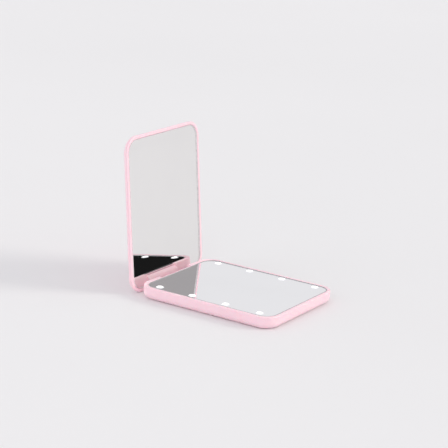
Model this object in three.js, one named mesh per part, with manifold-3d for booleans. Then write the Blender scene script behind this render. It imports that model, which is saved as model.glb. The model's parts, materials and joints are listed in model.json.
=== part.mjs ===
// Folding pocket mirror with a lit base. Millimetres, +Z up.
// Origin: on the underside of the base, in the middle of the closed mirror. +X runs from the hinge to the
// opening edge and +Y runs along the hinge. The lid stands open. It is drawn shut and turned about the pin.
import * as THREE from "three";
import { mergeVertices } from "three/addons/utils/BufferGeometryUtils.js";
import Module from "manifold-3d";

const wasm = await Module();
wasm.setup();

// ---- driving dimensions: both leaves ----
const LENGTH = 85; // hinge end to opening edge, shut
const WIDTH = 68; // along the hinge
const CORNER_RADIUS = 9;
const RIM = 1.8; // plastic edge round each mirror
const RIM_ROUND = 0.35;
const GLASS = 1.1;
const TAPE = 0.15;
const CLEARANCE = 0.3; // between pieces that are fitted into or beside each other
const STACK_GAP = 0.05; // between pieces stacked flat on each other
const OPEN_ANGLE = 95.5; // degrees

// ---- base ----
const BASE_HEIGHT = 6.9;
const BASE_BACK_X = -41; // the base is cut back here to make room for the opened lid
const BASE_BACK_RIM = 2.4;
const BASE_BOTTOM_ROUND = 3.0;
const BASE_FLOOR = 1.0;
const BASE_LEDGE = 0.8; // ledge inside the rim that carries the edge of the glass
const BASE_GLASS_DEPTH = 0.05; // from the rim down to the glass

// ---- lid ----
const LID_THICKNESS = 3.2;
const LID_BACK_ROUND = 2.3;
const LID_GLASS_DEPTH = 0.3;
const LEAF_GAP = 0.3; // between the closed leaves

// ---- hinge ----
const HINGE_X = -39.9;
const HINGE_Z = 3.2;
const PIN_RADIUS = 0.5;
const PIN_HOLE_RADIUS = 0.56;
const PIN_NEAR_Y = -20;
const PIN_FAR_Y = 27; // the pin is driven in through the far end block
const KNUCKLE_WIDTH = 27.4;
const LEG_THICKNESS = 1.2;
const NOTCH_WALL = 1.0; // between the hinge notch and the inside of the base

// ---- lamps and board ----
const LED_PITCH = 20.8;
const LED_ROW_Y = 28.3;
const LEDS_PER_ROW = 4;
const LED_SIZE = [2.8, 1.6, 0.6];
const LIGHT_WELL_RADIUS = 1.7;
const LIGHT_FRAME_BOTTOM_Z = 4.9;
const BOARD_THICKNESS = 0.8;
const BOARD_BOTTOM_Z = 3.3;
const BOARD_MARGIN = 0.8; // from the board to the inside of the base
const SENSOR_SIZE = [6, 2, 0.7];
const SENSOR_FROM_FRONT = 9;
const RESISTOR_SIZE = [1.6, 0.8, 0.45];
const RESISTOR_COUNT = 4;
const RESISTOR_PITCH = LED_PITCH / 2;
const RESISTOR_Y = -17;

// ---- cells ----
const CELL_COUNT = 2;
const CELL_RADIUS = 10;
const CELL_THICKNESS = 3.2;
const CELL_SPACING = 21;
const CONTACT_THICKNESS = 0.15;
const CONTACT_SIZE = [4, 15];
const CONTACT_CORNER = 0.6;
const BRIDGE_SIZE = [29, 4]; // reaches 4 mm past the middle of each cell

// ---- battery door ----
const DOOR_LENGTH = 46;
const DOOR_WIDTH = 25;
const DOOR_CORNER = 3;
const DOOR_BOTTOM_Z = 0; // flush with the underside
const DOOR_THICKNESS = 0.8;
const DOOR_LIP = 1.5; // the door rests on this much of the base all round
const DOOR_WALL = 2; // raised floor round the door's seat
const DOOR_WALL_TOP_Z = 1.9;
const DOOR_TAB_RADIUS = 2.75;
const DOOR_TAB_REACH = 2.4;
const DOOR_SCREW_LENGTH = 1.4;
const DOOR_SCREW_SPARE_DEPTH = 0.3; // of its hole, past the tip of the screw

// ---- screws and magnets ----
const SCREW_RADIUS = 0.7;
const SCREW_HEAD_RADIUS = 1.4;
const SCREW_HEAD_HEIGHT = 0.55;
const SCREW_HEAD_FLANK = 0.4; // height of the head's upright edge
const SCREW_CROWN_RADIUS = 1.05;
const BOARD_SCREW_LENGTH = 2.4;
const POST_RADIUS = 2.2;
const POST_X = 30;
const POST_Y = 24;
const MAGNET_SIZE = [4, 8, 0.8];
const MAGNET_Y = 17;
const MAGNET_FROM_RIM = 4.4;

// ---- places worked out from them ----
const FRONT_X = LENGTH / 2;
const BACK_X = -LENGTH / 2;
const MIRROR_MID_X = (BASE_BACK_X + BASE_BACK_RIM + FRONT_X - RIM) / 2;
const GLASS_WIDTH = WIDTH - 2 * RIM - 2 * CLEARANCE;
const GLASS_CORNER = CORNER_RADIUS - RIM - CLEARANCE;
const BASE_GLASS_LENGTH = FRONT_X - BASE_BACK_X - RIM - BASE_BACK_RIM - 2 * CLEARANCE;
const BASE_GLASS_BOTTOM_Z = BASE_HEIGHT - BASE_GLASS_DEPTH - GLASS;
const BASE_TAPE_BOTTOM_Z = BASE_GLASS_BOTTOM_Z - STACK_GAP - TAPE;
const LIGHT_FRAME_TOP_Z = BASE_TAPE_BOTTOM_Z - STACK_GAP;
const BOARD_PARTS_Z = BOARD_BOTTOM_Z + BOARD_THICKNESS + STACK_GAP;
const BARREL_RADIUS = HINGE_X - BACK_X; // its back is flush with the end of the closed lid
const NOTCH_WIDTH = KNUCKLE_WIDTH + 2 * CLEARANCE;
const NOTCH_INNER_X = HINGE_X + BARREL_RADIUS + CLEARANCE;
const CAVITY_BACK_X = NOTCH_INNER_X + NOTCH_WALL;
const CAVITY_FRONT_X = FRONT_X - RIM - BASE_LEDGE;
const CAVITY_LENGTH = CAVITY_FRONT_X - CAVITY_BACK_X;
const CAVITY_MID_X = (CAVITY_FRONT_X + CAVITY_BACK_X) / 2;
const CAVITY_WIDTH = WIDTH - 2 * (RIM + BASE_LEDGE);
const CAVITY_CORNER = CORNER_RADIUS - RIM - BASE_LEDGE;
const DOOR_SEAT_Z = DOOR_BOTTOM_Z + DOOR_THICKNESS + STACK_GAP;
const DOOR_SCREW_X = MIRROR_MID_X + DOOR_LENGTH / 2 + DOOR_TAB_REACH;
const DOOR_SCREW_SEAT_Z = DOOR_BOTTOM_Z + SCREW_HEAD_HEIGHT;
const CELL_BOTTOM_Z = DOOR_SEAT_Z + CONTACT_THICKNESS + STACK_GAP;
const CONTACT_Z = CELL_BOTTOM_Z + CELL_THICKNESS + STACK_GAP;
const MAGNET_X = FRONT_X - RIM - MAGNET_FROM_RIM;
const LID_FRONT_Z = BASE_HEIGHT + LEAF_GAP; // the closed lid's face that looks at the base
const LID_GLASS_Z = LID_FRONT_Z + LID_GLASS_DEPTH;
const LID_TAPE_Z = LID_GLASS_Z + GLASS + STACK_GAP / 2;
const LID_SEAT_Z = LID_GLASS_Z + GLASS + TAPE + STACK_GAP;
const BEYOND = 6; // how far a cutting solid or an unwanted round runs past the piece

// ---- materials ----
function material(color, roughness, metalness) {
  return new THREE.MeshStandardMaterial({ color, roughness, metalness });
}
const PINK = material(0xf5d3dc, 0.38, 0);
const SILVERED_GLASS = material(0xe2e2e6, 0.03, 1);
const WHITE_PLASTIC = material(0xf4f4f2, 0.6, 0);
const FOAM_TAPE = material(0x2b2b2d, 0.9, 0);
const BOARD_GREEN = material(0x1f6b43, 0.5, 0);
const LED_WHITE = material(0xfffbe8, 0.3, 0);
const BLACK_CHIP = material(0x1c1c1e, 0.5, 0);
const STEEL = material(0xb9bcc0, 0.28, 1);
const NICKEL = material(0xc9c7bf, 0.3, 1);

// ---- shape helpers ----
function roundedRectangle(centreX, centreY, length, width, radius) {
  const x = centreX - length / 2;
  const y = centreY - width / 2;
  const shape = new THREE.Shape();
  shape.moveTo(x + radius, y);
  shape.lineTo(x + length - radius, y);
  shape.absarc(x + length - radius, y + radius, radius, -Math.PI / 2, 0, false);
  shape.lineTo(x + length, y + width - radius);
  shape.absarc(x + length - radius, y + width - radius, radius, 0, Math.PI / 2, false);
  shape.lineTo(x + radius, y + width);
  shape.absarc(x + radius, y + width - radius, radius, Math.PI / 2, Math.PI, false);
  shape.lineTo(x, y + radius);
  shape.absarc(x + radius, y + radius, radius, Math.PI, 1.5 * Math.PI, false);
  return shape;
}

function roundHole(x, y, radius) {
  const hole = new THREE.Path();
  hole.absarc(x, y, radius, 0, 2 * Math.PI, true);
  return hole;
}

function plate(shape, bottomZ, thickness, curveSegments = 6) {
  const geometry = new THREE.ExtrudeGeometry(shape, { depth: thickness, bevelEnabled: false, curveSegments });
  return geometry.translate(0, 0, bottomZ);
}

// A rounded slab whose top and bottom edges are both rounded.
function softSlab(fromX, toX, bottomZ, topZ, round) {
  const inner = roundedRectangle(
    (fromX + toX) / 2, 0, toX - fromX - 2 * round, WIDTH - 2 * round, CORNER_RADIUS - round,
  );
  const geometry = new THREE.ExtrudeGeometry(inner, {
    depth: topZ - bottomZ - 2 * round,
    bevelEnabled: true,
    bevelSize: round,
    bevelThickness: round,
    bevelSegments: 4,
    curveSegments: 6,
  });
  return geometry.translate(0, 0, bottomZ + round);
}

// A slab with one round at its bottom edge and another at its top edge: the part that two slabs share.
function moulding(fromX, toX, bottomZ, topZ, bottomRound, topRound) {
  const lower = softSlab(fromX, toX, bottomZ, topZ + BEYOND, bottomRound);
  const upper = softSlab(fromX, toX, bottomZ - BEYOND, topZ, topRound);
  return solid(lower).intersect(solid(upper));
}

function block(size, x, y, bottomZ) {
  return new THREE.BoxGeometry(...size).translate(x, y, bottomZ + size[2] / 2);
}

function blockBetween(fromX, toX, width, fromZ, toZ) {
  return block([toX - fromX, width, toZ - fromZ], (fromX + toX) / 2, 0, fromZ);
}

function upright(radius, x, y, fromZ, toZ, segments = 20) {
  const geometry = new THREE.CylinderGeometry(radius, radius, toZ - fromZ, segments);
  return geometry.rotateX(Math.PI / 2).translate(x, y, (fromZ + toZ) / 2);
}

function alongHinge(radius, fromY, toY, segments = 24) {
  const geometry = new THREE.CylinderGeometry(radius, radius, toY - fromY, segments);
  return geometry.translate(HINGE_X, (fromY + toY) / 2, HINGE_Z);
}

function solid(geometry) {
  const bare = geometry.clone();
  bare.deleteAttribute("normal");
  bare.deleteAttribute("uv");
  const merged = mergeVertices(bare, 1e-4);
  return new wasm.Manifold(new wasm.Mesh({
    numProp: 3,
    vertProperties: new Float32Array(merged.attributes.position.array),
    triVerts: new Uint32Array(merged.index.array),
  }));
}

function geometryOf(manifold) {
  const mesh = manifold.getMesh();
  const geometry = new THREE.BufferGeometry();
  geometry.setAttribute("position", new THREE.BufferAttribute(new Float32Array(mesh.vertProperties), 3));
  geometry.setIndex(new THREE.BufferAttribute(new Uint32Array(mesh.triVerts), 1));
  geometry.computeVertexNormals();
  return geometry;
}

function cut(body, tools) {
  return tools.reduce((rest, tool) => rest.subtract(solid(tool)), body);
}

function joined(body, additions) {
  return additions.reduce((sum, addition) => sum.add(solid(addition)), body);
}

function named(name, geometry, finish) {
  const mesh = new THREE.Mesh(geometry, finish);
  mesh.name = name;
  return mesh;
}

// ---- places that repeat ----
function inRow(count, pitch) {
  return Array.from({ length: count }, (_, k) => (k - (count - 1) / 2) * pitch);
}

function ledPlaces() {
  const row = inRow(LEDS_PER_ROW, LED_PITCH);
  const side = (label, y) => row.map((dx, k) => ({ name: `led_${label}_${k + 1}`, x: MIRROR_MID_X + dx, y }));
  return [...side("near", -LED_ROW_Y), ...side("far", LED_ROW_Y)];
}

const POSTS = [[-POST_X, -POST_Y], [-POST_X, POST_Y], [POST_X, -POST_Y], [POST_X, POST_Y]];
const MAGNETS = [[MAGNET_X, -MAGNET_Y], [MAGNET_X, MAGNET_Y]];
const CELLS_X = inRow(CELL_COUNT, CELL_SPACING).map((dx) => MIRROR_MID_X + dx);

// ---- base ----
function doorOutline(margin) {
  return roundedRectangle(
    MIRROR_MID_X, 0, DOOR_LENGTH + 2 * margin, DOOR_WIDTH + 2 * margin, DOOR_CORNER + margin,
  );
}

function baseShell() {
  const glassRecess = roundedRectangle(
    MIRROR_MID_X, 0, BASE_GLASS_LENGTH + 2 * CLEARANCE, GLASS_WIDTH + 2 * CLEARANCE, GLASS_CORNER + CLEARANCE,
  );
  const cavity = roundedRectangle(CAVITY_MID_X, 0, CAVITY_LENGTH, CAVITY_WIDTH, CAVITY_CORNER);
  const overlap = 0.2; // added walls start this far inside the floor, to join it
  const hollow = cut(moulding(BASE_BACK_X, FRONT_X, 0, BASE_HEIGHT, BASE_BOTTOM_ROUND, RIM_ROUND), [
    plate(glassRecess, LIGHT_FRAME_TOP_Z, BEYOND),
    plate(cavity, BASE_FLOOR, BASE_HEIGHT),
  ]);
  const tabWallRadius = DOOR_TAB_RADIUS + DOOR_LIP;
  const raised = joined(hollow, [
    plate(doorOutline(DOOR_WALL), BASE_FLOOR - overlap, DOOR_WALL_TOP_Z - BASE_FLOOR + overlap),
    upright(tabWallRadius, DOOR_SCREW_X, 0, BASE_FLOOR - overlap, BOARD_BOTTOM_Z - STACK_GAP),
    ...POSTS.map(([x, y]) => upright(POST_RADIUS, x, y, BASE_FLOOR - overlap, BOARD_BOTTOM_Z - STACK_GAP)),
  ]);
  const threadRadius = SCREW_RADIUS + STACK_GAP;
  return cut(raised, [
    plate(doorOutline(-DOOR_LIP), -BEYOND, 2 * BEYOND),
    plate(doorOutline(CLEARANCE), -BEYOND, BEYOND + DOOR_SEAT_Z),
    upright(DOOR_TAB_RADIUS + CLEARANCE, DOOR_SCREW_X, 0, -BEYOND, DOOR_SEAT_Z),
    upright(threadRadius, DOOR_SCREW_X, 0, 0, DOOR_SCREW_SEAT_Z + DOOR_SCREW_LENGTH + DOOR_SCREW_SPARE_DEPTH),
    ...POSTS.map(([x, y]) => upright(threadRadius, x, y, BASE_FLOOR, BEYOND)),
    blockBetween(BASE_BACK_X - BEYOND, NOTCH_INNER_X, NOTCH_WIDTH, -BEYOND, BASE_HEIGHT + BEYOND),
    alongHinge(PIN_HOLE_RADIUS, PIN_NEAR_Y - CLEARANCE, WIDTH),
  ]);
}

function baseTape() {
  const margin = BASE_LEDGE + 2 * CLEARANCE; // from the edge of the glass to the tape
  const fromX = CAVITY_BACK_X + CLEARANCE;
  const toX = FRONT_X - RIM - CLEARANCE - margin;
  const endWidth = 3.2;
  const sideWidth = 7.2; // wide enough to go round the light wells
  const width = GLASS_WIDTH - 2 * margin;
  const middle = (fromX + toX) / 2;
  const frame = roundedRectangle(middle, 0, toX - fromX, width, 4);
  frame.holes.push(roundedRectangle(middle, 0, toX - fromX - 2 * endWidth, width - 2 * sideWidth, 2));
  frame.holes.push(...ledPlaces().map(({ x, y }) => roundHole(x, y, LIGHT_WELL_RADIUS + STACK_GAP)));
  return plate(frame, BASE_TAPE_BOTTOM_Z, TAPE);
}

function lightFrame() {
  const outline = roundedRectangle(
    CAVITY_MID_X, 0, CAVITY_LENGTH - 2 * CLEARANCE, CAVITY_WIDTH - 2 * CLEARANCE, CAVITY_CORNER - CLEARANCE,
  );
  outline.holes.push(...ledPlaces().map(({ x, y }) => roundHole(x, y, LIGHT_WELL_RADIUS)));
  return plate(outline, LIGHT_FRAME_BOTTOM_Z, LIGHT_FRAME_TOP_Z - LIGHT_FRAME_BOTTOM_Z);
}

function circuitBoard() {
  const length = CAVITY_LENGTH - 2 * BOARD_MARGIN;
  const width = CAVITY_WIDTH - 2 * BOARD_MARGIN;
  const outline = roundedRectangle(CAVITY_MID_X, 0, length, width, CAVITY_CORNER - BOARD_MARGIN);
  const cellMargin = 1;
  const windowLength = CELL_SPACING + 2 * (CELL_RADIUS + cellMargin);
  outline.holes.push(roundedRectangle(MIRROR_MID_X, 0, windowLength, 2 * (CELL_RADIUS + cellMargin), 2));
  outline.holes.push(...POSTS.map(([x, y]) => roundHole(x, y, SCREW_RADIUS + 2 * STACK_GAP)));
  return plate(outline, BOARD_BOTTOM_Z, BOARD_THICKNESS);
}

// A screw standing on its head's underside at seatZ. Its shank points down, or up for pointsUp.
function screw(x, y, seatZ, shankLength, pointsUp) {
  const profile = [
    [0, -shankLength],
    [SCREW_RADIUS, -shankLength],
    [SCREW_RADIUS, 0],
    [SCREW_HEAD_RADIUS, 0],
    [SCREW_HEAD_RADIUS, SCREW_HEAD_FLANK],
    [SCREW_CROWN_RADIUS, SCREW_HEAD_HEIGHT],
    [0, SCREW_HEAD_HEIGHT],
  ].map(([radius, height]) => new THREE.Vector2(radius, height));
  const geometry = new THREE.LatheGeometry(profile, 16).rotateX(pointsUp ? -Math.PI / 2 : Math.PI / 2);
  return geometry.translate(x, y, seatZ);
}

function batteryDoor() {
  const door = joined(solid(plate(doorOutline(0), DOOR_BOTTOM_Z, DOOR_THICKNESS)), [
    upright(DOOR_TAB_RADIUS, DOOR_SCREW_X, 0, DOOR_BOTTOM_Z, DOOR_BOTTOM_Z + DOOR_THICKNESS),
  ]);
  return cut(door, [
    upright(SCREW_RADIUS + STACK_GAP, DOOR_SCREW_X, 0, -BEYOND, BEYOND),
    upright(SCREW_HEAD_RADIUS + STACK_GAP, DOOR_SCREW_X, 0, -BEYOND, DOOR_SCREW_SEAT_Z + STACK_GAP),
  ]);
}

// ---- lid, drawn shut ----
function lidShell() {
  const recess = roundedRectangle(
    0, 0, LENGTH - 2 * RIM, GLASS_WIDTH + 2 * CLEARANCE, GLASS_CORNER + CLEARANCE,
  );
  const legTop = LID_FRONT_Z + RIM_ROUND; // the leg runs this far into the lid's rim
  const webHeight = 1;
  const back = moulding(
    BACK_X, FRONT_X, LID_FRONT_Z, LID_FRONT_Z + LID_THICKNESS, RIM_ROUND, LID_BACK_ROUND,
  );
  const shell = joined(back, [
    blockBetween(BACK_X, BACK_X + LEG_THICKNESS, KNUCKLE_WIDTH, HINGE_Z, legTop),
    blockBetween(BACK_X, HINGE_X, KNUCKLE_WIDTH, HINGE_Z, HINGE_Z + webHeight),
    alongHinge(BARREL_RADIUS, -KNUCKLE_WIDTH / 2, KNUCKLE_WIDTH / 2, 40),
  ]);
  const pocket = [MAGNET_SIZE[0] + CLEARANCE, MAGNET_SIZE[1] + CLEARANCE, MAGNET_SIZE[2] + 2 * STACK_GAP];
  return cut(shell, [
    plate(recess, LID_FRONT_Z - LEAF_GAP, LID_SEAT_Z - LID_FRONT_Z + LEAF_GAP),
    alongHinge(PIN_HOLE_RADIUS, -KNUCKLE_WIDTH, KNUCKLE_WIDTH),
    ...MAGNETS.map(([x, y]) => block(pocket, x, y, LID_SEAT_Z - STACK_GAP)),
  ]);
}

function lidPieces() {
  const glass = roundedRectangle(0, 0, LENGTH - 2 * RIM - 2 * CLEARANCE, GLASS_WIDTH, GLASS_CORNER);
  const tapeLength = 64; // stops short of the magnets
  const tapeMargin = 4; // from the edge of the glass
  const tapeX = BACK_X + RIM + tapeMargin + tapeLength / 2;
  const tape = roundedRectangle(tapeX, 0, tapeLength, GLASS_WIDTH - 2 * tapeMargin, 4);
  return [
    named("lid_shell", geometryOf(lidShell()), PINK),
    named("lid_mirror", plate(glass, LID_GLASS_Z, GLASS, 8), SILVERED_GLASS),
    named("lid_tape", plate(tape, LID_TAPE_Z, TAPE), FOAM_TAPE),
    ...MAGNETS.map(([x, y], k) => named(`lid_magnet_${k + 1}`, block(MAGNET_SIZE, x, y, LID_SEAT_Z), NICKEL)),
  ];
}

function basePieces() {
  const glass = roundedRectangle(MIRROR_MID_X, 0, BASE_GLASS_LENGTH, GLASS_WIDTH, GLASS_CORNER);
  const contact = (x) => roundedRectangle(x, CONTACT_SIZE[1] / 2, ...CONTACT_SIZE, CONTACT_CORNER);
  const bridge = roundedRectangle(MIRROR_MID_X, 0, ...BRIDGE_SIZE, CONTACT_CORNER);
  const cell = (x) => upright(CELL_RADIUS, x, 0, CELL_BOTTOM_Z, CELL_BOTTOM_Z + CELL_THICKNESS, 40);
  const resistorPlaces = inRow(RESISTOR_COUNT, RESISTOR_PITCH).map((dx) => MIRROR_MID_X + dx);
  const sensorX = FRONT_X - SENSOR_FROM_FRONT;
  return [
    named("base_shell", geometryOf(baseShell()), PINK),
    named("base_mirror", plate(glass, BASE_GLASS_BOTTOM_Z, GLASS, 8), SILVERED_GLASS),
    named("base_tape", baseTape(), FOAM_TAPE),
    named("light_frame", lightFrame(), WHITE_PLASTIC),
    named("circuit_board", circuitBoard(), BOARD_GREEN),
    named("battery_door", geometryOf(batteryDoor()), PINK),
    named("door_screw", screw(DOOR_SCREW_X, 0, DOOR_SCREW_SEAT_Z, DOOR_SCREW_LENGTH, true), STEEL),
    named("hinge_pin", alongHinge(PIN_RADIUS, PIN_NEAR_Y, PIN_FAR_Y), STEEL),
    named("cell_bridge", plate(bridge, DOOR_SEAT_Z, CONTACT_THICKNESS, 3), NICKEL),
    named("reed_sensor", block(SENSOR_SIZE, sensorX, 0, BOARD_PARTS_Z), BLACK_CHIP),
    ...ledPlaces().map(({ name, x, y }) => named(name, block(LED_SIZE, x, y, BOARD_PARTS_Z), LED_WHITE)),
    ...CELLS_X.map((x, k) => named(`coin_cell_${k + 1}`, cell(x), STEEL)),
    ...CELLS_X.map((x, k) => named(
      `cell_contact_${k + 1}`, plate(contact(x), CONTACT_Z, CONTACT_THICKNESS, 3), NICKEL,
    )),
    ...resistorPlaces.map((x, k) => named(
      `chip_resistor_${k + 1}`, block(RESISTOR_SIZE, x, RESISTOR_Y, BOARD_PARTS_Z), BLACK_CHIP,
    )),
    ...POSTS.map(([x, y], k) => named(
      `board_screw_${k + 1}`, screw(x, y, BOARD_PARTS_Z, BOARD_SCREW_LENGTH, false), STEEL,
    )),
    ...MAGNETS.map(([x, y], k) => named(
      `base_magnet_${k + 1}`, block(MAGNET_SIZE, x, y, BASE_FLOOR + STACK_GAP), NICKEL,
    )),
  ];
}

// ---- assembly ----
const object = new THREE.Group();
object.add(...basePieces());

const lid = new THREE.Group();
lid.add(...lidPieces());
lid.children.forEach((mesh) => mesh.geometry.translate(-HINGE_X, 0, -HINGE_Z));
lid.position.set(HINGE_X, 0, HINGE_Z);
lid.rotation.y = -THREE.MathUtils.degToRad(OPEN_ANGLE);
object.add(lid);

export default object;
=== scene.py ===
"""Folding LED pocket mirror: the looks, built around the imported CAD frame. All lengths in metres."""
import json
import math

import bmesh
import bpy
from mathutils import Matrix, Vector


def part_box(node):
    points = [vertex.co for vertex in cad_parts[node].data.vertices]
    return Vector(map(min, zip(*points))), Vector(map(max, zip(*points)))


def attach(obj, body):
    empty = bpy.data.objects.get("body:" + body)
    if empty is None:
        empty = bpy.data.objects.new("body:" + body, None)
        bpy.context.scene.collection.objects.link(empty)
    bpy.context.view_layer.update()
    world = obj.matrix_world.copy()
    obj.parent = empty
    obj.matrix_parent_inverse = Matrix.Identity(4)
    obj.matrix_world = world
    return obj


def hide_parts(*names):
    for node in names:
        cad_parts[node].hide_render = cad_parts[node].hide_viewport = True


MM = 0.001

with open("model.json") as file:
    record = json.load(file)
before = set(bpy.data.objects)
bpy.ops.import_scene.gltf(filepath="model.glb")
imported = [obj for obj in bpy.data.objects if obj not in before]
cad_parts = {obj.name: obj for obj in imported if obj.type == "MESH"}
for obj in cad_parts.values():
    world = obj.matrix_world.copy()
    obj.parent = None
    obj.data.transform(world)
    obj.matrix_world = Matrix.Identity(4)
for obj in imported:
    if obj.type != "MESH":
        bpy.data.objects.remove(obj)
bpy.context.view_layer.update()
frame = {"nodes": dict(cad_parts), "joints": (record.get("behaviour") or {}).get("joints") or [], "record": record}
NODES = frame["nodes"]

# ---- driving values that the frame's boxes don't hold ----
# leaves
CORNER_RADIUS = 9 * MM
RIM = 1.8 * MM
RIM_INNER_ROUND = 0.18 * MM
BASE_TOP_ROUND = 0.5 * MM
BASE_BOTTOM_ROUND = 3.4 * MM
LID_FRONT_ROUND = 0.5 * MM
LID_BACK_ROUND = 2.3 * MM
LID_RIM_HEIGHT = 0.05 * MM  # of the lid's rim over its glass
GLASS_GAP = 0.3 * MM
LEDGE = 0.8 * MM
BASE_FLOOR = 1.0 * MM
STACK_GAP = 0.05 * MM
# hinge
NOTCH_HALF_WIDTH = 14.0 * MM
NOTCH_DEPTH = 4.0 * MM
NOTCH_WALL = 1.0 * MM
NOTCH_CORNER = 0.6 * MM
NOTCH_EDGE_ROUND = 0.16 * MM
BARREL_RADIUS = 2.6 * MM
BARREL_END_ROUND = 0.3 * MM
HINGE_BAR_DEPTH = 0.5 * MM  # the bar over the barrel, in front of the edge of the glass
HINGE_BAR_BOTTOM = 6.15 * MM
HINGE_BAR_TOP = 6.5 * MM
HINGE_BAR_CORNER = 0.05 * MM
HINGE_BAR_EDGE = 0.08 * MM
LEG_THICKNESS = 1.2 * MM
LEG_START = 0.3 * MM  # from the pin's axis towards the lid
LEG_OVERLAP = 0.4 * MM  # into the lid's leaf
LEG_CORNER = 0.2 * MM
LEG_EDGE = 0.05 * MM
WEB_HEIGHT = 1.0 * MM  # of the web between the leg and the barrel
PIN_HOLE_RADIUS = 0.56 * MM
PIN_CHAMFER = 0.15 * MM
# glass and lit windows
GLASS_EDGE_ROUND = 0.12 * MM
GLASS_EDGE_WIDTH = 0.06 * MM  # flat top of the ground edge
BASE_SILVER_DEPTH = 0.24 * MM  # how deep the silver looks under the face of the glass
LID_SILVER_DEPTH = 0.45 * MM
WINDOW_RADIUS = 2.2 * MM
WINDOW_GAP = 0.02 * MM
WINDOW_CORE_RADIUS = 1.8 * MM
WINDOW_DOME = 0.34 * MM
WINDOW_STEPS = 8
# battery door and screws
DOOR_CORNER = 3.0 * MM
DOOR_EDGE_ROUND = 0.15 * MM
DOOR_LIP = 1.5 * MM
DOOR_WALL = 2.0 * MM
DOOR_WALL_TOP = 1.9 * MM
DOOR_TAB_REACH = 2.4 * MM
DOOR_HEAD_SEAT = 0.55 * MM
GRIP_GROOVES = 5
GRIP_FIRST = 3.0 * MM
GRIP_PITCH = 1.3 * MM
GRIP_WIDTH = 0.6 * MM
GRIP_DEPTH = 0.25 * MM
GRIP_LENGTH = 11.0 * MM
GRIP_TAPER = 2.0 * MM  # each groove is this much shorter than the one nearer the middle
GRIP_END_ROUND = 0.49  # as a share of the groove's width
GRIP_EDGE = 0.1 * MM
SCREW_CROWN = 0.3 * MM
SCREW_CROWN_POWER = 0.75  # below 1 makes the crown fuller than an ellipse
SCREW_CROWN_STEPS = 6
SCREW_PITCH = 0.35 * MM
SCREW_ROOT = 0.4  # of a turn: where the thread is deepest
SCREW_CREST = 0.8  # of a turn: where its crest is
SCREW_ROOT_SHARE = 0.82  # of the shank's radius
SCREW_TIP_SHARE = 0.7
SLOT_REACH_SHARE = 0.62  # of the head's radius
SLOT_HALF_WIDTH = 0.13 * MM
SLOT_DEPTH = 0.3 * MM
SLOT_EDGE = 0.03 * MM
POST_COUNT = 4
POST_RADIUS = 2.2 * MM
THREAD_RADIUS = 0.75 * MM
# how finely things are drawn
CORNER_STEPS = 20
TURNED_STEPS = 40
FINE_TURNED_STEPS = 48
FINEST_TURNED_STEPS = 64
ROUND_STEPS = 7
SMALL_ROUND_STEPS = 4
GLASS_ROUND_STEPS = 3
SUPPORT = 0.12 * MM  # width of the strip that keeps shading flat beside a rounded edge
SIDE_SUPPORT = 0.02  # the same on a block's sides, as a share of its height
SMALLEST_CORNER = 0.02 * MM
AXIS_RADIUS = 0.001 * MM  # a lathe profile's points on the axis are kept this far from it
WELD = 1e-7  # points nearer to each other than this become one
CUT_EDGE_ANGLE = 50  # degrees: a cut's edge that turns more than this is rounded
PAST = 1.0 * MM  # how far a cutting tool runs past what it cuts
TOOL_EDGE = 0.1 * MM  # round of a tool's ends, outside what it cuts
HAIR = 0.01 * MM  # keeps faces from coinciding in a boolean

# ---- hinge ----
HINGE = frame["joints"][0]
HINGE_POINT = Vector(HINGE["pos_m"])
CLOSED_ANGLE = math.radians(HINGE["range_deg"][0])
CLOSE = (Matrix.Translation(HINGE_POINT)
         @ Matrix.Rotation(CLOSED_ANGLE, 4, Vector(HINGE["axis"]))
         @ Matrix.Translation(-HINGE_POINT))
OPEN = CLOSE.inverted()


def closed_box(node):
    """Lowest and highest corner of a lid node with the lid shut."""
    points = [CLOSE @ v.co for v in NODES[node].data.vertices]
    low = Vector([min(p[i] for p in points) for i in range(3)])
    high = Vector([max(p[i] for p in points) for i in range(3)])
    return low, high


# ---- mesh helpers ----
def rounded_ring(low, high, radius, inset, z):
    """Points of a rounded rectangle from low to high in plan, moved inwards by inset, at height z."""
    r = max(radius - inset, SMALLEST_CORNER)
    centres = [
        (high.x - inset - r, high.y - inset - r, 0),
        (low.x + inset + r, high.y - inset - r, 1),
        (low.x + inset + r, low.y + inset + r, 2),
        (high.x - inset - r, low.y + inset + r, 3),
    ]
    ring = []
    for cx, cy, quarter in centres:
        for step in range(CORNER_STEPS + 1):
            angle = math.pi / 2 * (quarter + step / CORNER_STEPS)
            ring.append(Vector((cx + r * math.cos(angle), cy + r * math.sin(angle), z)))
    return ring


def quarter_round(inset, z, inset_end, z_end, along_z, steps=ROUND_STEPS):
    """(inset, z) pairs of a quarter ellipse. With along_z it leaves along z, and otherwise along inset."""
    pairs = []
    for step in range(steps + 1):
        angle = math.pi / 2 * step / steps
        early, late = math.sin(angle), 1 - math.cos(angle)
        a, b = (late, early) if along_z else (early, late)
        pairs.append((inset + (inset_end - inset) * a, z + (z_end - z) * b))
    return pairs


def loft(name, rings):
    """A closed mesh through rings of equal length, capped at both ends."""
    bm = bmesh.new()
    rows = [[bm.verts.new(point) for point in ring] for ring in rings]
    count = len(rows[0])
    for lower, upper in zip(rows, rows[1:]):
        for i in range(count):
            j = (i + 1) % count
            bm.faces.new((lower[i], lower[j], upper[j], upper[i]))
    bm.faces.new(list(reversed(rows[0])))
    bm.faces.new(rows[-1])
    bmesh.ops.remove_doubles(bm, verts=bm.verts, dist=WELD)
    bmesh.ops.recalc_face_normals(bm, faces=bm.faces)
    return mesh_object(name, bm)


def mesh_object(name, bm):
    """A new object in the scene with the mesh of bm, which is freed."""
    mesh = bpy.data.meshes.new(name)
    bm.to_mesh(mesh)
    bm.free()
    piece = bpy.data.objects.new(name, mesh)
    bpy.context.scene.collection.objects.link(piece)
    return piece


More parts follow.
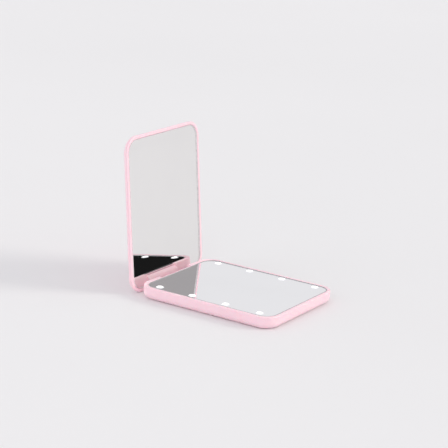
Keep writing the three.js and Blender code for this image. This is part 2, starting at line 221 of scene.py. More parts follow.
def turned(name, profile, axis, origin, steps=TURNED_STEPS):
    """A lathe body: profile is (along, radius) pairs, turned about axis from origin."""
    axis = Vector(axis).normalized()
    side = axis.orthogonal().normalized()
    other = axis.cross(side)
    rings = []
    for along, radius in profile:
        ring = []
        for step in range(steps):
            angle = 2 * math.pi * step / steps
            outwards = side * math.cos(angle) + other * math.sin(angle)
            ring.append(Vector(origin) + axis * along + outwards * max(radius, AXIS_RADIUS))
        rings.append(ring)
    return loft(name, rings)


def soft_block(name, low, high, corner, edge):
    """A block with rounded upright corners and rounded top and bottom edges."""
    support = (high.z - low.z) * SIDE_SUPPORT
    profile = [(edge + SUPPORT, low.z)]
    profile += quarter_round(edge, low.z, 0, low.z + edge, False, SMALL_ROUND_STEPS)
    profile += [(0, low.z + edge + support), (0, high.z - edge - support)]
    profile += quarter_round(0, high.z - edge, edge, high.z, True, SMALL_ROUND_STEPS)
    profile += [(edge + SUPPORT, high.z)]
    return loft(name, [rounded_ring(low, high, corner, inset, z) for inset, z in profile])


def carve(piece, *tools, operation="DIFFERENCE"):
    """Cuts the tools from the piece, or joins them, and removes the tools."""
    for tool in tools:
        modifier = piece.modifiers.new("carve", "BOOLEAN")
        modifier.operation = operation
        modifier.solver = "EXACT"
        modifier.object = tool
        apply_modifiers(piece)
        bpy.data.objects.remove(tool)


def unite(piece, *tools):
    """Joins the tools to the piece and removes them."""
    carve(piece, *tools, operation="UNION")


def apply_modifiers(piece):
    """Turns the piece's modifiers into mesh."""
    bpy.context.view_layer.update()
    evaluated = piece.evaluated_get(bpy.context.evaluated_depsgraph_get())
    mesh = bpy.data.meshes.new_from_object(evaluated)
    piece.modifiers.clear()
    piece.data = mesh


def soften_edges(piece, width):
    """Rounds the sharp edges that a cut left."""
    bevel = piece.modifiers.new("soften", "BEVEL")
    bevel.width = width
    bevel.segments = 2
    bevel.limit_method = "ANGLE"
    bevel.angle_limit = math.radians(CUT_EDGE_ANGLE)
    bevel.use_clamp_overlap = True
    bevel.harden_normals = False
    apply_modifiers(piece)


def finish_piece(piece, body, slot, material, *replaced, smooth_angle=32):
    """Cleans and shades a piece, puts it on its body, and hides the CAD nodes it replaces.

    material is used where the piece has none yet. Edges of more than smooth_angle degrees stay sharp. slot is not
    used.
    """
    bm = bmesh.new()
    bm.from_mesh(piece.data)
    bmesh.ops.remove_doubles(bm, verts=bm.verts, dist=2 * WELD)
    bmesh.ops.dissolve_degenerate(bm, edges=bm.edges, dist=2 * WELD)
    bm.to_mesh(piece.data)
    bm.free()
    piece.data.shade_smooth()
    piece.data.set_sharp_from_angle(angle=math.radians(smooth_angle))
    if not piece.data.materials:
        piece.data.materials.append(material)
    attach(piece, body)
    if replaced:
        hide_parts(*replaced)


def open_lid(piece):
    """Turns a piece built with the lid shut to the rest pose."""
    piece.data.transform(OPEN)


# ---- material helpers ----
class Nodes:
    """A new material with its Principled shader and short calls to add nodes to it."""

    def __init__(self, name, color, roughness, metallic=0.0):
        self.material = bpy.data.materials.new(name)
        self.material.use_nodes = True
        self.tree = self.material.node_tree
        self.shader = self.tree.nodes["Principled BSDF"]
        self.shader.inputs["Base Color"].default_value = (*color, 1)
        self.shader.inputs["Roughness"].default_value = roughness
        self.shader.inputs["Metallic"].default_value = metallic
        self.place = self.tree.nodes.new("ShaderNodeTexCoord").outputs["Object"]

    def set(self, **sockets):
        """Sets sockets of the shader, with _ for each space in their names."""
        for name, value in sockets.items():
            self.shader.inputs[name.replace("_", " ")].default_value = value

    def link(self, source, target):
        self.tree.links.new(source, target)

    def noise(self, size, detail=2.0):
        """Noise whose features are about size metres across."""
        node = self.tree.nodes.new("ShaderNodeTexNoise")
        node.inputs["Scale"].default_value = 1 / size
        node.inputs["Detail"].default_value = detail
        self.link(self.place, node.inputs["Vector"])
        return node.outputs["Fac"]

    def speckle(self, size):
        """Cells about size metres across, dark in the middle."""
        node = self.tree.nodes.new("ShaderNodeTexVoronoi")
        node.inputs["Scale"].default_value = 1 / size
        self.link(self.place, node.inputs["Vector"])
        return node.outputs["Distance"]

    def streaks(self, size, stretch):
        """Noise drawn out along one axis: stretch is the scale of each axis."""
        mapping = self.tree.nodes.new("ShaderNodeMapping")
        mapping.inputs["Scale"].default_value = stretch
        self.link(self.place, mapping.inputs["Vector"])
        node = self.tree.nodes.new("ShaderNodeTexNoise")
        node.inputs["Scale"].default_value = 1 / size
        node.inputs["Detail"].default_value = 3
        self.link(mapping.outputs["Vector"], node.inputs["Vector"])
        return node.outputs["Fac"]

    def distance_from_hinge(self):
        """Distance of each point, at rest, from the hinge's axis, which runs along Y."""
        offset = self.tree.nodes.new("ShaderNodeVectorMath")
        offset.operation = "SUBTRACT"
        offset.inputs[1].default_value = HINGE_POINT
        self.link(self.place, offset.inputs[0])
        sideways = self.tree.nodes.new("ShaderNodeVectorMath")
        sideways.operation = "MULTIPLY"
        sideways.inputs[1].default_value = (1, 0, 1)
        self.link(offset.outputs["Vector"], sideways.inputs[0])
        length = self.tree.nodes.new("ShaderNodeVectorMath")
        length.operation = "LENGTH"
        self.link(sideways.outputs["Vector"], length.inputs[0])
        return length.outputs["Value"]

    def spread(self, source, low, high, start=0.35, end=0.65):
        """Runs from low to high while the source runs from start to end."""
        node = self.tree.nodes.new("ShaderNodeMapRange")
        node.inputs["From Min"].default_value = start
        node.inputs["From Max"].default_value = end
        node.inputs["To Min"].default_value = low
        node.inputs["To Max"].default_value = high
        self.link(source, node.inputs["Value"])
        return node.outputs["Result"]

    def colours(self, source, *stops):
        """A colour ramp over the source, through stops of (position, colour)."""
        node = self.tree.nodes.new("ShaderNodeValToRGB")
        ramp = node.color_ramp
        ramp.elements[0].position, ramp.elements[0].color = stops[0][0], (*stops[0][1], 1)
        ramp.elements[1].position, ramp.elements[1].color = stops[-1][0], (*stops[-1][1], 1)
        for position, color in stops[1:-1]:
            ramp.elements.new(position).color = (*color, 1)
        self.link(source, node.inputs["Fac"])
        return node.outputs["Color"]

    def bump(self, source, height, strength=1.0):
        """Adds relief of that height to what the shader already has."""
        node = self.tree.nodes.new("ShaderNodeBump")
        node.inputs["Distance"].default_value = height
        node.inputs["Strength"].default_value = strength
        self.link(source, node.inputs["Height"])
        previous = self.shader.inputs["Normal"]
        if previous.is_linked:
            self.link(previous.links[0].from_socket, node.inputs["Normal"])
        self.link(node.outputs["Normal"], previous)

    def to(self, source, socket):
        """Links the source to a socket of the shader."""
        self.link(source, self.shader.inputs[socket])


def tint(color, factor):
    """The colour, lighter or darker by that factor."""
    return tuple(min(1.0, c * factor) for c in color)


PINK = (0.9, 0.65, 0.71)
PAINTED_LIGHT_PINK = (1.0, 0.66, 0.74)  # colour of the painted light: the plastic glows, though it is no lamp
PAINTED_LIGHT_AT_HINGE = 0.2
PAINTED_LIGHT_ELSEWHERE = 0.05
PAINTED_LIGHT_NEAR = 3 * MM  # the painted light falls off between these distances from the hinge's axis, so it is strongest in the shaded hinge gap
PAINTED_LIGHT_FAR = 5.5 * MM


def pink_plastic():
    m = Nodes("pink_plastic", PINK, 0.36)
    m.set(Coat_Weight=0.18, Coat_Roughness=0.22, Specular_IOR_Level=0.45, Subsurface_Weight=0.3)
    m.shader.inputs["Subsurface Radius"].default_value = (1.0, 0.4, 0.55)
    m.shader.inputs["Subsurface Scale"].default_value = 1.0 * MM
    m.shader.inputs["Emission Color"].default_value = (*PAINTED_LIGHT_PINK, 1)
    # painted light: the plastic glows faintly all over and most near the hinge, lifting its shaded gap and shadows
    glow = m.spread(m.distance_from_hinge(), PAINTED_LIGHT_AT_HINGE, PAINTED_LIGHT_ELSEWHERE, PAINTED_LIGHT_NEAR, PAINTED_LIGHT_FAR)
    m.to(glow, "Emission Strength")
    cloud = m.noise(3 * MM, 3)
    m.to(m.colours(cloud, (0.3, tint(PINK, 0.99)), (0.7, tint(PINK, 1.008))), "Base Color")
    grain = m.noise(0.22 * MM, 2)
    m.to(m.spread(m.noise(2.4 * MM, 4), 0.31, 0.42), "Roughness")
    m.bump(grain, 0.006 * MM, 0.5)
    m.bump(m.noise(1.6 * MM, 2), 0.004 * MM, 0.5)
    return m.material


def mirror_silver(name, color):
    """Silvering seen through its glass, with faint smears."""
    m = Nodes(name, color, 0.02, 1.0)
    smear = m.streaks(7 * MM, (1.0, 0.35, 1.0))
    m.to(m.spread(smear, 0.012, 0.05, 0.45, 0.8), "Roughness")
    m.to(m.colours(m.noise(26 * MM, 2), (0.3, tint(color, 0.99)), (0.7, tint(color, 1.005))), "Base Color")
    m.bump(m.noise(14 * MM, 1), 0.0012 * MM, 0.3)
    return m.material


def glass_edge(name, color):
    """The rough ground edge of a glass plate."""
    m = Nodes(name, color, 0.3)
    m.to(m.colours(m.noise(0.5 * MM, 2), (0.3, tint(color, 0.8)), (0.7, tint(color, 1.2))), "Base Color")
    m.bump(m.noise(0.3 * MM), 0.02 * MM, 0.4)
    return m.material


def lit_window():
    """The bright middle of a lit window."""
    m = Nodes("lit_window", (0.95, 0.95, 0.93), 0.4)
    frost = m.noise(0.35 * MM, 2)
    m.to(m.colours(frost, (0.3, (0.93, 0.93, 0.91)), (0.7, (0.99, 0.99, 0.98))), "Base Color")
    m.to(m.colours(frost, (0.3, (0.97, 0.97, 0.96)), (0.7, (1.0, 1.0, 0.99))), "Emission Color")
    m.set(Emission_Strength=1.4)
    m.bump(frost, 0.01 * MM, 0.4)
    return m.material


def window_frost():
    """The dimmer ring round a lit window's bright middle."""
    color = (0.25, 0.25, 0.26)
    m = Nodes("window_frost", color, 0.45)
    frost = m.noise(0.25 * MM, 2)
    m.to(m.colours(frost, (0.3, tint(color, 0.9)), (0.7, tint(color, 1.05))), "Base Color")
    m.to(m.colours(frost, (0.3, tint(color, 2.3)), (0.7, tint(color, 2.7))), "Emission Color")
    m.set(Emission_Strength=1.0)
    m.bump(frost, 0.01 * MM, 0.4)
    return m.material


def plain_detail(name, color, roughness, metallic, grain, height):
    """A small part's finish: its colour and roughness vary by grain, with bump of that height."""
    m = Nodes(name, color, roughness, metallic)
    source = m.noise(grain, 3)
    m.to(m.colours(source, (0.3, tint(color, 0.86)), (0.7, tint(color, 1.1))), "Base Color")
    m.to(m.spread(m.noise(grain * 3, 2), roughness * 0.8, min(1, roughness * 1.25)), "Roughness")
    m.bump(source, height, 0.5)
    return m.material


def foam_tape():
    m = Nodes("foam_tape", (0.03, 0.03, 0.032), 0.9)
    cells = m.speckle(0.25 * MM)
    m.to(m.colours(cells, (0.1, (0.012, 0.012, 0.013)), (0.8, (0.05, 0.05, 0.052))), "Base Color")
    m.bump(cells, 0.05 * MM, 0.8)
    return m.material


def circuit_board():
    m = Nodes("circuit_board", (0.02, 0.16, 0.07), 0.35)
    m.set(Coat_Weight=0.4, Coat_Roughness=0.15)
    bare = (0.015, 0.12, 0.05)
    over_track = (0.03, 0.2, 0.09)
    tracks = m.streaks(1.6 * MM, (1.0, 0.12, 1.0))
    m.to(m.colours(tracks, (0.44, bare), (0.5, over_track), (0.56, bare)), "Base Color")
    m.bump(tracks, 0.03 * MM, 0.6)
    return m.material


def brushed(name, color, roughness, stretch):
    """Metal with fine lines. stretch is the scale of the lines along each axis."""
    m = Nodes(name, color, roughness, 1.0)
    lines = m.streaks(0.6 * MM, stretch)
    m.to(m.colours(lines, (0.3, tint(color, 0.85)), (0.7, tint(color, 1.12))), "Base Color")
    m.to(m.spread(lines, roughness * 0.75, roughness * 1.3), "Roughness")
    m.bump(lines, 0.004 * MM, 0.4)
    return m.material


MATERIALS = {
    "pink_plastic": pink_plastic(),
    "mirror_glass": mirror_silver("mirror_silver", (0.93, 0.93, 0.94)),
    "foam_tape": foam_tape(),
    "white_plastic": plain_detail("white_plastic", (0.86, 0.86, 0.84), 0.55, 0.0, 0.6 * MM, 0.01 * MM),
    "circuit_board": circuit_board(),
    "screw_steel": brushed("screw_steel", (0.58, 0.59, 0.61), 0.28, (1.0, 1.0, 6.0)),
    "cell_steel": brushed("cell_steel", (0.66, 0.66, 0.66), 0.24, (0.2, 3.0, 1.0)),
    "nickel_plate": plain_detail("nickel_plate", (0.68, 0.66, 0.62), 0.26, 1.0, 1.2 * MM, 0.004 * MM),
    "black_component": plain_detail("black_component", (0.025, 0.025, 0.027), 0.5, 0.0, 0.2 * MM, 0.01 * MM),
    "led": lit_window(),
}
# painted shade: the lid's silver is a darker, warmer copy of the base's, for the dimmer surroundings its mirror
# shows
LID_SILVER_SHADED = mirror_silver("lid_mirror_silver_shaded", (0.88, 0.872, 0.865))
# painted shade: the base glass's edge is grey for the shaded gap round its mirror, and near black towards the
# hinge for the dark groove there
SHADED_GLASS_EDGE = glass_edge("glass_edge", (0.48, 0.47, 0.48))
# painted highlight: the lid glass's ground edge is near white, much lighter than the base's, for the light it
# catches
LIT_FROSTED_EDGE = glass_edge("lit_frosted_edge", (0.93, 0.89, 0.90))
HINGE_EDGE_SHADE = glass_edge("hinge_edge_shade", (0.05, 0.045, 0.05))
WINDOW_FROST = window_frost()


def dress_cad_nodes():
    """Gives every carried-over CAD node the finish of its slot."""
    for entry in frame["record"]["subparts"]:
        mesh = NODES[entry["node"]].data
        mesh.materials.clear()
        mesh.materials.append(MATERIALS[entry["material_slot"]])


# ---- leaves ----
def leaf_rings(low, high, recess_low, recess_high, fillets, face_z, seat_z):
    """Rings of a moulded leaf: its closed face, its side, its rim, and the wall of the glass recess.

    fillets is (round of the closed face, round of the rim). face_z is the closed face, and the rim lies at
    the other end of the box. seat_z is the bottom of the glass recess.
    """
    face_round, rim_round = fillets
    rim_z = high.z if face_z == low.z else low.z
    up = 1 if rim_z > face_z else -1
    outside = [(face_round + SUPPORT, face_z)]
    outside += quarter_round(face_round, face_z, 0, face_z + up * face_round, False)
    outside += [(0, face_z + up * (face_round + SUPPORT)), (0, rim_z - up * (rim_round + SUPPORT))]
    outside += quarter_round(0, rim_z - up * rim_round, rim_round, rim_z, True)
    outside += [(rim_round + SUPPORT, rim_z)]
    inside = [(-RIM_INNER_ROUND - SUPPORT, rim_z)]
    inner_z = rim_z - up * RIM_INNER_ROUND
    inside += quarter_round(-RIM_INNER_ROUND, rim_z, 0, inner_z, False, SMALL_ROUND_STEPS)
    inside += [(0, rim_z - up * (RIM_INNER_ROUND + SUPPORT)), (0, seat_z)]
    rings = [rounded_ring(low, high, CORNER_RADIUS, inset, z) for inset, z in outside]
    recess_corner = CORNER_RADIUS - RIM
    rings += [rounded_ring(recess_low, recess_high, recess_corner, inset, z) for inset, z in inside]
    return rings


def widened(low, high, by):
    """The box from low to high, grown in plan by that much on each side."""
    margin = Vector((by, by, 0))
    return low - margin, high + margin


def base_shell():
    """The base's moulding: a tray with a hinge notch, a bore for the pin, and the door's opening."""
    low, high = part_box("base_shell")
    glass_low, glass_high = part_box("base_mirror")
    recess_low, recess_high = widened(glass_low, glass_high, GLASS_GAP)
    seat_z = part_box("light_frame")[1].z
    fillets = (BASE_BOTTOM_ROUND, BASE_TOP_ROUND)
    rings = leaf_rings(low, high, recess_low, recess_high, fillets, low.z, seat_z)
    cavity_back = low.x + NOTCH_DEPTH + NOTCH_WALL
    cavity_low = Vector((cavity_back, low.y + RIM + LEDGE, 0))
    cavity_high = Vector((high.x - RIM - LEDGE, high.y - RIM - LEDGE, 0))
    cavity_corner = CORNER_RADIUS - RIM - LEDGE
    for z in (seat_z, low.z + BASE_FLOOR):
        rings.append(rounded_ring(cavity_low, cavity_high, cavity_corner, 0, z))
    shell = loft("base_shell_moulding", rings)
    notch_low = Vector((low.x - 5 * PAST, -NOTCH_HALF_WIDTH, low.z - 5 * PAST))
    notch_high = Vector((low.x + NOTCH_DEPTH, NOTCH_HALF_WIDTH, high.z + 5 * PAST))
    carve(shell, soft_block("notch_tool", notch_low, notch_high, NOTCH_CORNER, TOOL_EDGE))
    soften_edges(shell, NOTCH_EDGE_ROUND)
    bar_low = Vector((recess_low.x - HINGE_BAR_DEPTH, -NOTCH_HALF_WIDTH - GLASS_GAP, HINGE_BAR_BOTTOM))
    bar_high = Vector((recess_low.x, NOTCH_HALF_WIDTH + GLASS_GAP, HINGE_BAR_TOP))
    unite(shell, soft_block("bar_tool", bar_low, bar_high, HINGE_BAR_CORNER, HINGE_BAR_EDGE))
    pin_low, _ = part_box("hinge_pin")
    far_end = high.y + PAST
    bore = [(0, PIN_HOLE_RADIUS), (far_end - pin_low.y, PIN_HOLE_RADIUS)]
    carve(shell, turned("bore_tool", bore, (0, 1, 0), (HINGE_POINT.x, pin_low.y, HINGE_POINT.z)))
    fit_battery_door(shell, low.z)
    return shell


def door_plan():
    """The door's low and high corner without its tab, the middle of its screw, and the tab's radius."""
    low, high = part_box("battery_door")
    screw_low, screw_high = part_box("door_screw")
    screw = (screw_low + screw_high) / 2
    return low, Vector((screw.x - DOOR_TAB_REACH, high.y, high.z)), screw, high.x - screw.x


def door_prism(name, margin, from_z, to_z):
    """An upright block with the outline of the door without its tab, grown by margin."""
    low, high, _, _ = door_plan()
    low, high = widened(low, high, margin)
    return loft(name, [rounded_ring(low, high, DOOR_CORNER + margin, 0, z) for z in (from_z, to_z)])


def upright(name, x, y, radius, from_z, to_z):
    """An upright cylinder."""
    return turned(name, [(0, radius), (to_z - from_z, radius)], (0, 0, 1), (x, y, from_z))


def fit_battery_door(shell, bottom_z):
    """Raises the floor round the door, opens it under the cells, and adds the screw bosses."""
    _, door_high, screw, tab_radius = door_plan()
    board_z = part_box("circuit_board")[0].z
    root_z = BASE_FLOOR / 2
    boss_top = board_z - STACK_GAP
    seat_z = door_high.z + STACK_GAP
    below = bottom_z - 2 * PAST
    posts = []
    for k in range(1, POST_COUNT + 1):
        post_low, post_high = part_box(f"board_screw_{k}")
        posts.append((post_low + post_high) / 2)
    unite(
        shell,
        door_prism("door_wall_tool", DOOR_WALL, root_z, DOOR_WALL_TOP),
        upright("boss_tool", screw.x, screw.y, tab_radius + DOOR_LIP, root_z, boss_top),
    )
    for post in posts:
        unite(shell, upright("post_tool", post.x, post.y, POST_RADIUS, root_z, boss_top))
    carve(
        shell,
        door_prism("opening_tool", -DOOR_LIP, below, 2 * DOOR_WALL_TOP),
        door_prism("seat_tool", GLASS_GAP, below, seat_z),
        upright("tab_seat_tool", screw.x, screw.y, tab_radius + GLASS_GAP, below, seat_z),
        upright("thread_tool", screw.x, screw.y, THREAD_RADIUS, below, boss_top - STACK_GAP),
    )
    for post in posts:
        carve(shell, upright("thread_tool", post.x, post.y, THREAD_RADIUS, BASE_FLOOR, board_z + PAST))


def battery_door():
    """The cover on the underside, with a tab for its screw and grooves to grip it by."""
    low, high, screw, tab_radius = door_plan()
    edge = DOOR_EDGE_ROUND
    door = soft_block("battery_door_plate", low, high, DOOR_CORNER, edge)
    thickness = high.z - low.z
    tab = [(0, tab_radius - edge), (edge, tab_radius)]
    tab += [(thickness - edge, tab_radius), (thickness, tab_radius - edge)]
    unite(door, turned("tab_tool", tab, (0, 0, 1), (screw.x, screw.y, low.z), FINEST_TURNED_STEPS))
    head_low, head_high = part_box("door_screw")
    head_radius = (head_high.x - head_low.x) / 2 + STACK_GAP
    head_z = low.z + DOOR_HEAD_SEAT + STACK_GAP
    carve(
        door,
        upright("head_tool", screw.x, screw.y, head_radius, low.z - PAST, head_z),
        upright("shank_tool", screw.x, screw.y, THREAD_RADIUS, low.z - PAST, high.z + PAST),
    )
    for k in range(GRIP_GROOVES):
        x = low.x + GRIP_FIRST + k * GRIP_PITCH
        length = GRIP_LENGTH - abs(k - (GRIP_GROOVES - 1) / 2) * GRIP_TAPER
        groove_low = Vector((x - GRIP_WIDTH / 2, -length / 2, low.z - PAST))
        groove_high = Vector((x + GRIP_WIDTH / 2, length / 2, low.z + GRIP_DEPTH))
        ends = GRIP_WIDTH * GRIP_END_ROUND
        carve(door, soft_block("groove_tool", groove_low, groove_high, ends, GRIP_EDGE))
    return door


def door_screw():
    """A pan-head screw, pointing up, with a cross recess in its head."""
    low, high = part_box("door_screw")
    x, y = (low.x + high.x) / 2, (low.y + high.y) / 2
    head_radius = (high.x - low.x) / 2
    shank_radius = THREAD_RADIUS - STACK_GAP
    profile = [(0, 0)]
    for step in range(SCREW_CROWN_STEPS + 1):
        angle = math.pi / 2 * step / SCREW_CROWN_STEPS
        height = SCREW_CROWN * (1 - math.cos(angle))
        profile.append((height, head_radius * math.sin(angle) ** SCREW_CROWN_POWER))
    profile += [(DOOR_HEAD_SEAT, head_radius), (DOOR_HEAD_SEAT, shank_radius)]
    length = high.z - low.z
    turns = round((length - DOOR_HEAD_SEAT) / SCREW_PITCH)
    for turn in range(turns):
        start = DOOR_HEAD_SEAT + turn * SCREW_PITCH
        profile.append((start + SCREW_PITCH * SCREW_ROOT, shank_radius * SCREW_ROOT_SHARE))
        profile.append((start + SCREW_PITCH * SCREW_CREST, shank_radius))
    profile += [(length, shank_radius * SCREW_TIP_SHARE), (length, 0)]
    screw = turned("door_screw_steel", profile, (0, 0, 1), (x, y, low.z), FINE_TURNED_STEPS)
    reach = head_radius * SLOT_REACH_SHARE
    arm = SLOT_HALF_WIDTH
    for along, across in ((reach, arm), (arm, reach)):
        slot_low = Vector((x - along, y - across, low.z - PAST))
        slot_high = Vector((x + along, y + across, low.z + SLOT_DEPTH))
        carve(screw, soft_block("slot_tool", slot_low, slot_high, arm / 2, SLOT_EDGE))
    return screw


def build_battery_door():
    finish_piece(battery_door(), "base", "pink_plastic", MATERIALS["pink_plastic"], "battery_door")
    steel = MATERIALS["screw_steel"]
    finish_piece(door_screw(), "base", "screw_steel", steel, "door_screw", smooth_angle=40)


def glass_plate(name, low, high, viewed, silver_depth, finishes, windows=()):
    """Silvered glass with its finishes set face by face: a ground edge round the silver, and a hole for each lit
    window.

    viewed is 1 where the upper face is the one that is looked into, and -1 where the lower one is.
    The silver is drawn silver_depth under that face. windows are the middles of the holes.
    finishes is (silver, ground edge, edge towards the hinge); each edge colour is painted light: shade on the
    base's glass, a highlight on the lid's.
    """
    front, back = (high.z, low.z) if viewed > 0 else (low.z, high.z)
    silver = front - viewed * silver_depth
    corner = CORNER_RADIUS - RIM - GLASS_GAP
    edge = GLASS_EDGE_ROUND
    inner = edge + GLASS_EDGE_WIDTH
    profile = [(edge + SUPPORT, back)]
    profile += quarter_round(edge, back, 0, back + viewed * edge, False, GLASS_ROUND_STEPS)
    profile += quarter_round(0, front - viewed * edge, edge, front, True, GLASS_ROUND_STEPS)
    profile += [(inner, front), (inner, silver), (inner + SUPPORT, silver)]
    plate = loft(name, [rounded_ring(low, high, corner, inset, z) for inset, z in profile])
    for x, y in windows:
        carve(plate, upright("window_tool", x, y, WINDOW_RADIUS, low.z - PAST, high.z + PAST))
    plate.data.materials.clear()
    for finish in finishes:
        plate.data.materials.append(finish)
    for face in plate.data.polygons:
        is_flat = face.normal.z * viewed > 0.98
        is_silver = is_flat and abs(face.center.z - silver) < silver_depth / 4
        by_hinge = face.center.x < low.x + edge and face.normal.x < -0.5
        face.material_index = 0 if is_silver else 2 if by_hinge else 1
    return plate


def led_centres():
    """The middle of each lamp, by the name of its node."""
    centres = {}
    for name in sorted(NODES):
        if name.startswith("led_"):
            low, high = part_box(name)
            centres[name] = (low + high) / 2
    return centres


def lit_window_piece(name, centre, low_z, high_z):
    """A frosted window with a bright middle. Its dome rises from the level of the silver round it."""
    rim = WINDOW_RADIUS - WINDOW_GAP
    top = high_z - BASE_SILVER_DEPTH - low_z
    profile = [(0, 0), (0, rim)]
    for step in range(WINDOW_STEPS + 1):
        angle = math.pi / 2 * step / WINDOW_STEPS
        profile.append((top + WINDOW_DOME * math.sin(angle), rim * math.cos(angle)))
    window = turned(name, profile, (0, 0, 1), (centre.x, centre.y, low_z), FINE_TURNED_STEPS)
    window.data.materials.append(MATERIALS["led"])
    window.data.materials.append(WINDOW_FROST)
    for face in window.data.polygons:
        reach = max((window.data.vertices[v].co.xy - centre.xy).length for v in face.vertices)
        face.material_index = 1 if reach > WINDOW_CORE_RADIUS else 0
    return window


def build_base():
    finish_piece(base_shell(), "base", "pink_plastic", MATERIALS["pink_plastic"], "base_shell")
    low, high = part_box("base_mirror")
    centres = led_centres()
    # painted shade on the edges: grey round the glass, near black towards the hinge
    finishes = (MATERIALS["mirror_glass"], SHADED_GLASS_EDGE, HINGE_EDGE_SHADE)
    places = [(c.x, c.y) for c in centres.values()]
    glass = glass_plate("base_mirror_glass", low, high, 1, BASE_SILVER_DEPTH, finishes, places)
    finish_piece(glass, "base", "mirror_glass", MATERIALS["mirror_glass"], "base_mirror", smooth_angle=20)
    for name, centre in centres.items():
        window = lit_window_piece(name.replace("led", "light_window"), centre, low.z, high.z)
        finish_piece(window, "base", "led", MATERIALS["led"])


def lid_shell():
    """The lid's moulding with the lid shut: the leaf, its leg, and the barrel on the pin."""
    low, high = closed_box("lid_shell")
    glass_low, glass_high = closed_box("lid_mirror")
    face_low = Vector((low.x, low.y, glass_low.z - LID_RIM_HEIGHT))
    recess_low, recess_high = widened(glass_low, glass_high, GLASS_GAP)
    seat_z = closed_box("lid_tape")[1].z
    fillets = (LID_BACK_ROUND, LID_FRONT_ROUND)
    rings = leaf_rings(face_low, high, recess_low, recess_high, fillets, high.z, seat_z)
    shell = loft("lid_shell_moulding", rings)
    half = NOTCH_HALF_WIDTH - GLASS_GAP
    leg_low = Vector((low.x, -half, HINGE_POINT.z + LEG_START))
    leg_high = Vector((low.x + LEG_THICKNESS, half, face_low.z + LEG_OVERLAP))
    unite(shell, soft_block("leg_tool", leg_low, leg_high, LEG_CORNER, LEG_EDGE))
    web_low = Vector((low.x + 2 * HAIR, -half + HAIR, leg_low.z + 2 * HAIR))
    web_high = Vector((HINGE_POINT.x, half - HAIR, leg_low.z + WEB_HEIGHT))
    unite(shell, soft_block("web_tool", web_low, web_high, LEG_CORNER, LEG_EDGE))
    profile = [
        (0, BARREL_RADIUS - BARREL_END_ROUND),
        (BARREL_END_ROUND, BARREL_RADIUS),
        (2 * half - BARREL_END_ROUND, BARREL_RADIUS),
        (2 * half, BARREL_RADIUS - BARREL_END_ROUND),
    ]
    barrel_start = (HINGE_POINT.x, -half, HINGE_POINT.z)
    unite(shell, turned("barrel_tool", profile, (0, 1, 0), barrel_start, FINEST_TURNED_STEPS))
    bore = [(0, PIN_HOLE_RADIUS), (2 * half + 2 * PAST, PIN_HOLE_RADIUS)]
    carve(shell, turned("bore_tool", bore, (0, 1, 0), (HINGE_POINT.x, -half - PAST, HINGE_POINT.z)))
    return shell


def build_lid():
    shell = lid_shell()
    open_lid(shell)
    finish_piece(shell, "lid", "pink_plastic", MATERIALS["pink_plastic"], "lid_shell")
    low, high = closed_box("lid_mirror")
    # painted highlight: the lid glass's edge is near white all round, the hinge side too
    finishes = (LID_SILVER_SHADED, LIT_FROSTED_EDGE, LIT_FROSTED_EDGE)
    glass = glass_plate("lid_mirror_glass", low, high, -1, LID_SILVER_DEPTH, finishes)
    open_lid(glass)
    finish_piece(glass, "lid", "mirror_glass", LID_SILVER_SHADED, "lid_mirror", smooth_angle=20)


def build_pin():
    low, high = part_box("hinge_pin")
    radius = (high.z - low.z) / 2
    length = high.y - low.y
    profile = [
        (0, 0),
        (0, radius - PIN_CHAMFER),
        (PIN_CHAMFER, radius),
        (length - PIN_CHAMFER, radius),
        (length, radius - PIN_CHAMFER),
        (length, 0),
    ]
    pin = turned("hinge_pin_steel", profile, (0, 1, 0), (HINGE_POINT.x, low.y, HINGE_POINT.z))
    finish_piece(pin, "base", "screw_steel", MATERIALS["screw_steel"], "hinge_pin")


# ---- stage ----
FLOOR_COLOR = (0.81, 0.806, 0.813)
FLOOR_HALF_WIDTH = 8.0
FLOOR_DROP = 0.02 * MM  # keeps the floor just clear of the underside
SKY_COLOR = (0.835, 0.832, 0.85)


def emission(name, color):
    """A material that only glows."""
    material = bpy.data.materials.new(name)
    material.use_nodes = True
    tree = material.node_tree
    tree.nodes.clear()
    glow = tree.nodes.new("ShaderNodeEmission")
    glow.inputs["Color"].default_value = (*color, 1)
    out = tree.nodes.new("ShaderNodeOutputMaterial")
    tree.links.new(glow.outputs[0], out.inputs[0])
    return material


def panel(name, corners, material):
    """A flat face that belongs to the stage and not to the object."""
    bm = bmesh.new()
    bm.faces.new([bm.verts.new(c) for c in corners])
    piece = mesh_object(name, bm)
    piece.data.materials.append(material)
    return piece


def build_floor():
    m = Nodes("floor", FLOOR_COLOR, 0.7)
    stops = ((0.3, tint(FLOOR_COLOR, 0.99)), (0.7, tint(FLOOR_COLOR, 1.01)))
    m.to(m.colours(m.noise(0.4, 2), *stops), "Base Color")
    m.set(Specular_IOR_Level=0.2)
    half = FLOOR_HALF_WIDTH
    z = -FLOOR_DROP
    panel("floor", [(-half, -half, z), (half, -half, z), (half, half, z), (-half, half, z)], m.material)


def reflection_card(name, azimuth, low_elevation, high_elevation, half_width, distance, color):
    """An upright card that only reflections see. Angles are in degrees, azimuth from +X towards +Y."""
    angle = math.radians(azimuth)
    outwards = Vector((math.cos(angle), math.sin(angle), 0))
    across = Vector((-outwards.y, outwards.x, 0)) * distance * math.tan(math.radians(half_width))
    low = Vector((0, 0, distance * math.tan(math.radians(low_elevation))))
    high = Vector((0, 0, distance * math.tan(math.radians(high_elevation))))
    left, right = outwards * distance - across, outwards * distance + across
    card = panel(name, [left + low, right + low, right + high, left + high], emission(name, color))
    card.visible_camera = False
    card.visible_diffuse = False
    card.visible_shadow = False
    card.visible_transmission = False


def build_reflection_cards():
    reflection_card(
        "dark_card",
        azimuth=56,
        low_elevation=0.3,
        high_elevation=17,
        half_width=22,
        distance=1.6,
        color=(0.012, 0.012, 0.012),
    )
    reflection_card(
        "grey_card",
        azimuth=61,
        low_elevation=17.5,
        high_elevation=32,
        half_width=24,
        distance=1.6,
        color=(0.44, 0.425, 0.435),
    )


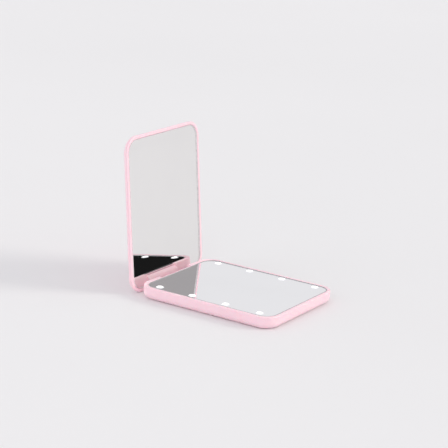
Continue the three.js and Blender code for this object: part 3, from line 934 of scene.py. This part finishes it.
def soft_sun(name, towards, spread, strength, color, in_mirrors):
    """A distant light. towards points at it, and spread is its apparent width in degrees."""
    data = bpy.data.lights.new(name, "SUN")
    data.angle = math.radians(spread)
    data.energy = strength
    data.color = color
    light = bpy.data.objects.new(name, data)
    light.rotation_euler = Vector(towards).to_track_quat("Z", "Y").to_euler()
    light.visible_glossy = in_mirrors
    bpy.context.scene.collection.objects.link(light)


def build_light():
    world = bpy.data.worlds.new("studio")
    bpy.context.scene.world = world
    world.use_nodes = True
    background = world.node_tree.nodes["Background"]
    background.inputs["Color"].default_value = (*SKY_COLOR, 1)
    background.inputs["Strength"].default_value = 1.0
    soft_sun(
        "key",
        towards=(0.74, 0.46, 0.42),
        spread=22,
        strength=1.05,
        color=(1.0, 0.965, 0.89),
        in_mirrors=True,
    )
    soft_sun(
        "fill",
        towards=(-0.1, -0.95, 0.2),
        spread=80,
        strength=0.75,
        color=(0.99, 0.99, 1.06),
        in_mirrors=False,
    )


# ---- camera ----
CAMERA_AZIMUTH = 32.03
CAMERA_ELEVATION = 15.98
CAMERA_DISTANCE = 0.8817
CAMERA_AIM = Vector((-10.51, 0.68, 39.46)) * MM
CAMERA_ROLL = 3.3
CAMERA_LENS = 132.6
SENSOR = 36.0


def build_camera():
    azimuth, elevation = math.radians(CAMERA_AZIMUTH), math.radians(CAMERA_ELEVATION)
    back = Vector((
        math.sin(azimuth) * math.cos(elevation),
        -math.cos(azimuth) * math.cos(elevation),
        math.sin(elevation),
    ))
    right = Vector((math.cos(azimuth), math.sin(azimuth), 0))
    roll = Matrix.Rotation(math.radians(CAMERA_ROLL), 3, back)
    right = roll @ right
    up = back.cross(right)
    data = bpy.data.cameras.new("camera")
    data.lens = CAMERA_LENS
    data.sensor_width = SENSOR
    camera = bpy.data.objects.new("camera", data)
    turn = Matrix((right, up, back)).transposed()
    camera.matrix_world = Matrix.Translation(CAMERA_AIM + back * CAMERA_DISTANCE) @ turn.to_4x4()
    bpy.context.scene.collection.objects.link(camera)
    bpy.context.scene.camera = camera


bpy.context.scene.view_settings.view_transform = "Standard"
dress_cad_nodes()
build_base()
build_battery_door()
build_lid()
build_pin()
build_floor()
build_reflection_cards()
build_light()
build_camera()
